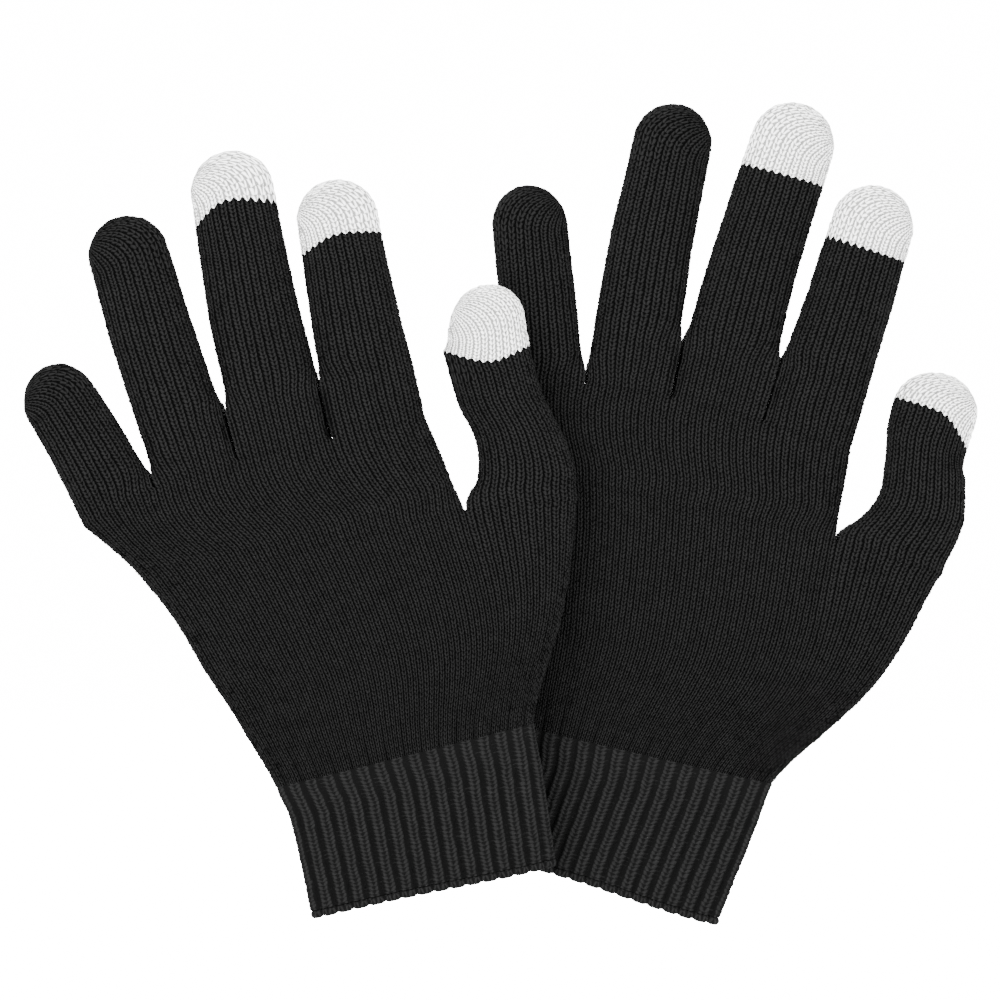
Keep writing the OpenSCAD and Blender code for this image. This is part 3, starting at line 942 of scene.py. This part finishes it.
def bend_rows(rings, wales, seam_row, turned):
    """Rings and course numbers with the rows near the seam bent into stitch points."""
    f = wales * turned - np.floor(wales * turned)
    shape = ZIGZAG * (1 - 2.6 * np.clip(1 - np.abs(f - 0.38) / 0.45, 0, 1))
    row = np.arange(len(rings))[:, None]
    fall = np.clip(1 - np.abs(row - seam_row) / ZIGZAG_REACH, 0, 1)
    moved = np.clip(row + ROWS * shape * fall, 0, len(rings) - 1)
    below = np.floor(moved).astype(int)
    above = np.minimum(below + 1, len(rings) - 1)
    part = (moved - below)[..., None]
    column = np.arange(rings.shape[1])[None, :]
    return rings[below, column] * (1 - part) + rings[above, column] * part, moved / ROWS


def build_finger(glove, name, parent_top, first_wale):
    """Root, shaft and tip of one finger; the tip rides with the finger's upper body."""
    finger = glove.fingers[name]
    rings, seam_row, spine = finger_rings(glove, name, parent_top, first_wale)
    wales = ring_wales(first_wale, first_wale + WALES[name])
    numbers = (np.arange(len(rings)) / ROWS)[:, None]
    touch = name in TOUCH_FINGERS
    if touch:
        rings, numbers = bend_rows(rings, wales, seam_row, glove.turned)
    cloth = weave(glove, rings, wales, numbers, FINGER_RELIEF)
    last = len(rings) - 1
    middle = finger["fold_at"] / 2 + 1
    split = ROWS * round(middle / spine["total"] * last / ROWS)
    prefix = f"{glove.name}_{name}"
    hand, lower, upper = f"{glove.name}_hand", f"{prefix}_lower", f"{prefix}_upper"

    def on_axis(s):
        point, _ = finger_centre(finger, s)
        return tuple(glove.outward([point[0], 0, point[1]]))

    root = knit_piece(f"{prefix}_root", glove, cloth, 0, split)
    on_axis(0.3)
    on_axis(middle - 0.5)
    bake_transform(root)
    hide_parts(f"{prefix}_lower")
    far_end = min(2 * finger["fold_at"] - middle, finger["length"] - TOUCH - 9)
    pieces = {"root": root}
    if touch:
        shaft = knit_piece(f"{prefix}_shaft", glove, cloth, split, seam_row)
        tip = knit_piece(f"{prefix}_tip", glove, cloth, seam_row, last, capped=True)
        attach(tip, upper)
        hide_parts(f"{prefix}_touch_tip")
        pieces["tip"] = tip
    else:
        shaft = knit_piece(f"{prefix}_shaft", glove, cloth, split, last, capped=True)
    on_axis(middle + 0.5)
    on_axis(far_end)
    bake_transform(shaft)
    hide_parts(f"{prefix}_upper")
    pieces["shaft"] = shaft
    return pieces


# %% [markdown]
# ## The cuff
# One-and-one rib: every second wale stands up and the one between sinks behind it, which is what
# lets the cuff stretch. The hem is bound off as a thin chain, and it waves in and out with the ribs.

# %% Cuff and its edge
# How far the hem waves with the ribs, and how far it hangs lower on the thumb's side
SCALLOP = 0.45
HEM_SAG = {"rear": 4.5, "front": 2.2}
# Height below the wrist over which the heel's fullness fades
HEEL_FADES_DOWN = 11
# The chain's section: its points, its courses, and how far it is set back and bulges
CHAIN_POINTS = 17
CHAIN_COURSES = 4
CHAIN_SETBACK = 0.15
CHAIN_BULGE = 0.35


def cuff_section(glove, height):
    """Left edge, right edge and thickness of the cuff at a height."""
    hand = glove.hand
    stations = [hand["hem"], hand["edge_top"], hand["wrist"], hand["middle"]]
    sections = [hand["hem_section"], hand["hem_section"], hand["wrist_section"], hand["middle_section"]]
    left, right, thick = [through(height, stations, [s[k] for s in sections]) for k in range(3)]
    straight_left, straight_right = [np.interp(height, [hand["edge_top"], hand["wrist"]],
                                     [hand["hem_section"][k], hand["wrist_section"][k]]) for k in (0, 1)]
    full = HEEL_FULLNESS * eased((height - hand["wrist"] + HEEL_FADES_DOWN) / HEEL_FADES_DOWN)
    return min(left, straight_left) - full, max(right, straight_right) + 0.3, thick


def cuff_rings(glove, heights):
    """Rings of the cuff at some heights."""
    shares = even_shares(2 * RIBS)
    rings = []
    for height in heights:
        left, right, thick = cuff_section(glove, height)
        flat = spaced(half_oval(left, right, thick, HAND_SQUARE), shares)
        rise = max(height - glove.hand["edge_top"], 0) / (glove.hand["wrist"] - glove.hand["edge_top"])
        sag = HEM_SAG[glove.name] * eased((flat[:, 0] - left) / (right - left)) ** 1.5
        level = height - sag * (1 - rise) ** 2
        rings.append(ring_from_halves(np.stack([flat[:, 0], flat[:, 1], level], -1)))
    return np.array(rings)


def build_cuff(glove):
    """The ribbed cuff and its bound-off edge."""
    hand = glove.hand
    hem, top, edge_top = hand["hem"], hand["wrist"], hand["edge_top"]
    courses = round((top - edge_top) / RIB_COURSE)
    heights = np.linspace(edge_top, top, courses * ROWS + 1)
    rings = cuff_rings(glove, heights)
    wales = ring_wales(0, 2 * RIBS)
    numbers = (np.arange(len(rings)) / ROWS)[:, None]
    from_top = ((top - heights) / RIB_FADE)[:, None]

    def fading_rib(u, v):
        """Ribs that are half as deep at the wrist."""
        return RIB_LEVEL + (rib(u, v) - RIB_LEVEL) * mix(0.5, 1, eased(from_top))

    cloth = weave(glove, rings, wales, numbers, RIB_RELIEF, relief=fading_rib, level=RIB_LEVEL)
    cloth["uv"][..., 0] = rib_stitch(cloth["uv"][..., 0] * glove.turned) * glove.turned
    cloth["around"] = RIBS * 2
    cuff = knit_piece(f"{glove.name}_ribbed_cuff", glove, cloth, 0, len(rings) - 1)
    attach(cuff, f"{glove.name}_cuff")
    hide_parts(f"{glove.name}_cuff")

    base = cuff_rings(glove, [hem + 0.01, hem + 0.5])
    ring, normals = base[0], fabric_normals(base)[0]
    wave = rib_wave(wales * glove.turned)
    chain = 0.5 + 0.5 * np.cos(2 * math.pi * (wales * glove.turned - 0.3))
    tall = edge_top - hem
    profile = []
    for a in np.linspace(0, 2 * math.pi, CHAIN_POINTS):
        out = -WALL / 2 - CHAIN_SETBACK + (WALL / 2 + CHAIN_BULGE) * math.cos(a)
        up = tall / 2 + tall / 2 * math.sin(a)
        lowered = eased(1 - up / tall)
        push = out + RIB_RELIEF * 0.7 * (wave - 0.3) + 0.3 * chain * max(math.cos(a), 0)
        drop = up + SCALLOP * lowered * (0.9 - wave)
        row = ring + normals * push[:, None]
        row = row + np.stack([0 * drop, 0 * drop, drop], -1)
        profile.append(row)
    profile = np.array(profile)[::-1]
    chain_rows = np.linspace(0, CHAIN_COURSES, CHAIN_POINTS)[:, None]
    uv = np.stack(np.broadcast_arrays(wales[None, :], chain_rows), -1).copy()
    uv[..., 0] *= glove.turned
    edge = mesh_from_rows(f"{glove.name}_bound_edge", glove.outward(closed_ring(profile)), closed_ring(uv),
                          bpy.context.scene.collection)
    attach(edge, f"{glove.name}_cuff")
    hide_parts(f"{glove.name}_cuff_edge")
    return cuff, edge


# %% [markdown]
# ## Both gloves
# The pieces are built from the cuff up, each starting from the last ring of the one below.

# %% Build both gloves
black_pieces, heel_pieces, rib_pieces, white_pieces = [], [], [], []
for glove in gloves:
    cuff, edge = build_cuff(glove)
    rib_pieces += [cuff, edge]
    heel, palm, trunk = build_lower_palm(glove)
    wrist_middle = sum(glove.hand["wrist_section"][:2]) / 2
    wrist = glove.hand["wrist"]
    tuple(glove.outward([wrist_middle, 0, wrist + 0.3]))
    tuple(glove.outward([wrist_middle, 0, wrist + BEND_LENGTH - 1]))
    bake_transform(heel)
    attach(palm, f"{glove.name}_hand")
    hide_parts(f"{glove.name}_lower_palm")
    upper_palm, hand_top = build_upper_palm(glove, trunk[-1])
    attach(upper_palm, f"{glove.name}_hand")
    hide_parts(f"{glove.name}_upper_palm")
    heel_pieces.append(heel)
    black_pieces += [palm, upper_palm]
    first = 0
    for name in FINGERS:
        parent = trunk[-1] if name == "thumb" else hand_top[-1]
        made = build_finger(glove, name, parent, HAND_WALES if name == "thumb" else first)
        first += WALES[name]
        black_pieces += [made["root"], made["shaft"]]
        if "tip" in made:
            white_pieces.append(made["tip"])
black_count = len(black_pieces + heel_pieces)
print(black_count, "black,", len(rib_pieces), "ribbed and", len(white_pieces), "white pieces")

# %% [markdown]
# ## Yarn
# The mesh holds the shape of each stitch. The material adds what is finer: the plies of the yarn,
# its fuzz, and the dark between stitches where little light gets in. The same stitch formula is
# built in nodes from the wale and course numbers in the UV map, once, as a group.

# %% Yarn node group


def node(tree, kind, **settings):
    """A new node with some of its settings."""
    made = tree.nodes.new(kind)
    for key, value in settings.items():
        setattr(made, key, value)
    return made


def calculate(tree, operation, *values, clamp=False):
    """A Math node fed by sockets or numbers; gives its output."""
    made = node(tree, "ShaderNodeMath", operation=operation, use_clamp=clamp)
    for socket, value in zip(made.inputs, values):
        if isinstance(value, (int, float)):
            socket.default_value = value
        else:
            tree.links.new(value, socket)
    return made.outputs[0]


def yarn_group():
    """Stitch height, painted gap shade and tone of plain knitting, from wale and course numbers."""
    group = bpy.data.node_groups.new("knitted_yarn", "ShaderNodeTree")
    group.interface.new_socket("Stitch", in_out="INPUT", socket_type="NodeSocketVector")
    group.interface.new_socket("Place", in_out="INPUT", socket_type="NodeSocketVector")
    for name in ("Height", "Gap", "Tone"):
        group.interface.new_socket(name, in_out="OUTPUT", socket_type="NodeSocketFloat")
    source = node(group, "NodeGroupInput")
    result = node(group, "NodeGroupOutput")
    split = node(group, "ShaderNodeSeparateXYZ")
    group.links.new(source.outputs["Stitch"], split.inputs[0])
    stray = node(group, "ShaderNodeTexNoise")
    stray.inputs["Scale"].default_value = 380
    group.links.new(source.outputs["Place"], stray.inputs["Vector"])
    u = calculate(group, "MULTIPLY_ADD", stray.outputs[0], 0.3, split.outputs[0])
    v = calculate(group, "MULTIPLY_ADD", stray.outputs[0], 0.9, split.outputs[1])
    f = calculate(group, "ABSOLUTE", calculate(group, "SUBTRACT", calculate(group, "FRACT", u), 0.65))
    g = calculate(group, "FRACT", v)
    slant = calculate(group, "MULTIPLY_ADD", g, LEG_RISE, LEG_LOW)
    from_leg = calculate(group, "DIVIDE", calculate(group, "SUBTRACT", f, slant), LEG_HALF)
    across_leg = calculate(group, "POWER", calculate(group, "ABSOLUTE", from_leg), 2.0)
    leg = calculate(group, "SUBTRACT", 1, across_leg, clamp=True)
    from_middle = calculate(group, "ABSOLUTE", calculate(group, "MULTIPLY_ADD", g, 2, -1))
    ends = calculate(group, "POWER", from_middle, 6.0)
    body = calculate(group, "MULTIPLY", leg, calculate(group, "MULTIPLY_ADD", ends, -0.6, 1))
    ply_at = calculate(group, "MULTIPLY_ADD", from_leg, 3.2, calculate(group, "MULTIPLY", g, 16.0))
    plies = calculate(group, "MULTIPLY_ADD", calculate(group, "SINE", ply_at), 0.5, 0.5)
    fuzz = node(group, "ShaderNodeTexNoise")
    fuzz.inputs["Scale"].default_value = 3800
    fuzz.inputs["Detail"].default_value = 3
    group.links.new(source.outputs["Place"], fuzz.inputs["Vector"])
    cloud = node(group, "ShaderNodeTexNoise")
    cloud.inputs["Scale"].default_value = 420
    cloud.inputs["Detail"].default_value = 2
    group.links.new(source.outputs["Place"], cloud.inputs["Vector"])
    height = calculate(group, "MULTIPLY_ADD", plies, 0.12, body)
    height = calculate(group, "MULTIPLY_ADD", fuzz.outputs[0], 0.35, height)
    # painted shade: where the yarn's body is thin, between the legs, the colour goes dark
    gap = calculate(group, "SUBTRACT", 1, calculate(group, "POWER", body, 0.6), clamp=True)
    both_noises = calculate(group, "ADD", fuzz.outputs[0], cloud.outputs[0])
    tone = calculate(group, "MULTIPLY_ADD", both_noises, 0.5, 0.5)
    group.links.new(height, result.inputs["Height"])
    group.links.new(gap, result.inputs["Gap"])
    group.links.new(tone, result.inputs["Tone"])
    return group


yarn = yarn_group()
YARN_DEPTH = 0.0003
VALLEY_SHADE = 0.6


def rib_shade(tree, numbers):
    """Painted shade in the valleys between ribs, running up from the cuff and fading into the palm."""
    split = node(tree, "ShaderNodeSeparateXYZ")
    tree.links.new(numbers, split.inputs[0])
    p = calculate(tree, "FRACT", calculate(tree, "MULTIPLY", split.outputs[0], RIBS / TRUNK_WALES))
    off_ridge = calculate(tree, "ABSOLUTE", calculate(tree, "SUBTRACT", p, 0.5))
    valley = calculate(tree, "SUBTRACT", calculate(tree, "MULTIPLY", off_ridge, 5), 1.6, clamp=True)
    fade = calculate(tree, "MULTIPLY_ADD", split.outputs[1], -COURSE / RIB_FADE, 1, clamp=True)
    return calculate(tree, "MULTIPLY", valley, fade)


def yarn_material(name, colours, roughness, sheen, bump, specular, ribbed=False):
    """A knitted yarn, from the painted shade of its gaps and the colours of its dark and light fibres."""
    gap_shade_colour, dark_colour, light_colour = colours
    material = bpy.data.materials.new(name)
    material.use_nodes = True
    tree = material.node_tree
    shader = tree.nodes["Principled BSDF"]
    numbers = node(tree, "ShaderNodeUVMap", uv_map="Knit")
    place = node(tree, "ShaderNodeTexCoord")
    strand = node(tree, "ShaderNodeGroup", node_tree=yarn)
    tree.links.new(numbers.outputs[0], strand.inputs["Stitch"])
    tree.links.new(place.outputs["Object"], strand.inputs["Place"])
    tones = node(tree, "ShaderNodeMix", data_type="RGBA")
    lightness = calculate(tree, "SUBTRACT", strand.outputs["Tone"], 0.45, clamp=True)
    tree.links.new(lightness, tones.inputs["Factor"])
    tones.inputs["A"].default_value = (*dark_colour, 1)
    tones.inputs["B"].default_value = (*light_colour, 1)
    shaded = node(tree, "ShaderNodeMix", data_type="RGBA")
    gap = strand.outputs["Gap"]
    if ribbed:
        # painted shade in the rib valleys, on top of the painted shade in the stitch gaps
        valleys = calculate(tree, "MULTIPLY", rib_shade(tree, numbers.outputs[0]), VALLEY_SHADE)
        gap = calculate(tree, "MAXIMUM", gap, valleys)
    # painted shade: the gaps between stitches take the first, darkest colour
    tree.links.new(gap, shaded.inputs["Factor"])
    tree.links.new(tones.outputs["Result"], shaded.inputs["A"])
    shaded.inputs["B"].default_value = (*gap_shade_colour, 1)
    tree.links.new(shaded.outputs["Result"], shader.inputs["Base Color"])
    raised = node(tree, "ShaderNodeBump")
    raised.inputs["Strength"].default_value = bump
    raised.inputs["Distance"].default_value = YARN_DEPTH
    tree.links.new(strand.outputs["Height"], raised.inputs["Height"])
    tree.links.new(raised.outputs["Normal"], shader.inputs["Normal"])
    shader.inputs["Roughness"].default_value = roughness
    shader.inputs["Specular IOR Level"].default_value = specular
    shader.inputs["Sheen Weight"].default_value = sheen
    shader.inputs["Sheen Roughness"].default_value = 0.5
    return material


def finish_pieces(pieces, material):
    """Gives pieces their material."""
    for piece in pieces:
        piece.data.materials.clear()
        piece.data.materials.append(material)


# The first colour of each yarn is painted shade in the gaps between stitches
GAP_SHADE = (0.0003, 0.0003, 0.0003)
SHADE = (0.0018, 0.0018, 0.0018)
DARK = (0.0019, 0.0019, 0.0019)
LIGHT = (0.0098, 0.0098, 0.0098)
SILVERY = [(0.14, 0.14, 0.137), (0.66, 0.66, 0.65), (0.97, 0.97, 0.96)]
dull = {"roughness": 0.95, "sheen": 0.0, "bump": 0.8, "specular": 0.02}
black = yarn_material("black_yarn", [GAP_SHADE, DARK, LIGHT], **dull)
# The heel's yarn is the black yarn with painted shade in the valleys of its fading ribs
heel_black_valley_shade = yarn_material("heel_yarn", [GAP_SHADE, DARK, LIGHT], **dull, ribbed=True)
rib_black = yarn_material("rib_yarn", [SHADE, DARK, LIGHT], **dull)
white = yarn_material("conductive_yarn", SILVERY, roughness=0.8, sheen=0.1, bump=1.0, specular=0.2)
finish_pieces(black_pieces, black)
finish_pieces(heel_pieces, heel_black_valley_shade)
finish_pieces(rib_pieces, rib_black)
finish_pieces(white_pieces, white)

# %% [markdown]
# ## Elastic
# Fine elastic threads are laid in behind the rib. They are in the frame already and keep their
# shape; they get the look of a thread wound round a rubber core.

# %% Elastic
elastic = bpy.data.materials.new("covered_elastic")
elastic.use_nodes = True
elastic_tree = elastic.node_tree
elastic_shader = elastic_tree.nodes["Principled BSDF"]
winding = node(elastic_tree, "ShaderNodeTexWave", wave_type="BANDS", bands_direction="X")
winding.inputs["Scale"].default_value = 400
winding_place = node(elastic_tree, "ShaderNodeTexCoord")
elastic_tree.links.new(winding_place.outputs["Object"], winding.inputs["Vector"])
winding_tone = node(elastic_tree, "ShaderNodeMix", data_type="RGBA")
winding_tone.inputs["A"].default_value = (0.012, 0.012, 0.012, 1)
winding_tone.inputs["B"].default_value = (0.05, 0.05, 0.05, 1)
elastic_tree.links.new(winding.outputs[1], winding_tone.inputs["Factor"])
elastic_tree.links.new(winding_tone.outputs["Result"], elastic_shader.inputs["Base Color"])
elastic_shader.inputs["Roughness"].default_value = 0.7
for glove in gloves:
    threads = frame["nodes"][f"{glove.name}_cuff_elastic"]
    threads.data.materials.clear()
    threads.data.materials.append(elastic)
